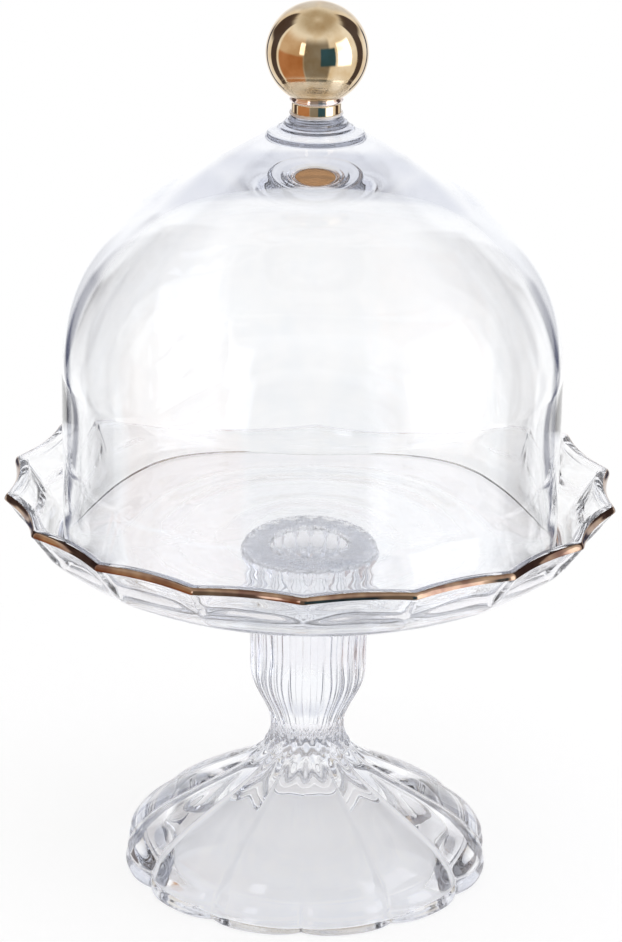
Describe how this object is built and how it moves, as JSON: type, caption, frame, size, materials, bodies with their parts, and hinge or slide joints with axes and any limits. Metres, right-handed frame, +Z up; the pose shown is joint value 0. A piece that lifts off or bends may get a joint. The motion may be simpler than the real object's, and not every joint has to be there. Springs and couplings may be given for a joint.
{
  "type": "cake stand with dome cover",
  "caption": "Clear glass pedestal dish with a scalloped gilt rim, fluted stem and petalled hollow foot, under a lift-off bell dome with a gilt ball knob.",
  "frame": {"origin": "centre of the foot's resting ring, on the table", "axes": "+Z up along the stem to the knob; -Y is the front, where one rim tip and one crease of the foot lie; +X to the right"},
  "size_m": [0.187, 0.19, 0.2781],
  "materials": {
    "clear_glass": "pressed and blown clear glass, fire polished",
    "clear_adhesive": "clear cured adhesive, slightly bubbly",
    "gold_lustre": "fired gold lustre, polished"
  },
  "bodies": {
    "stand": {"foot": "clear_glass", "stem": "clear_glass", "plate_bond": "clear_adhesive", "plate": "clear_glass", "rim_gilding": "gold_lustre"},
    "cloche": {"dome": "clear_glass", "knob_collar": "clear_glass", "knob_bond": "clear_adhesive", "knob": "clear_glass", "knob_gilding": "gold_lustre"}
  },
  "joints": [
    {"name": "dome_lift", "type": "slide", "parent": "stand", "child": "cloche", "axis": [0, 0, 1], "range_m": [0, 0.17]}
  ]
}
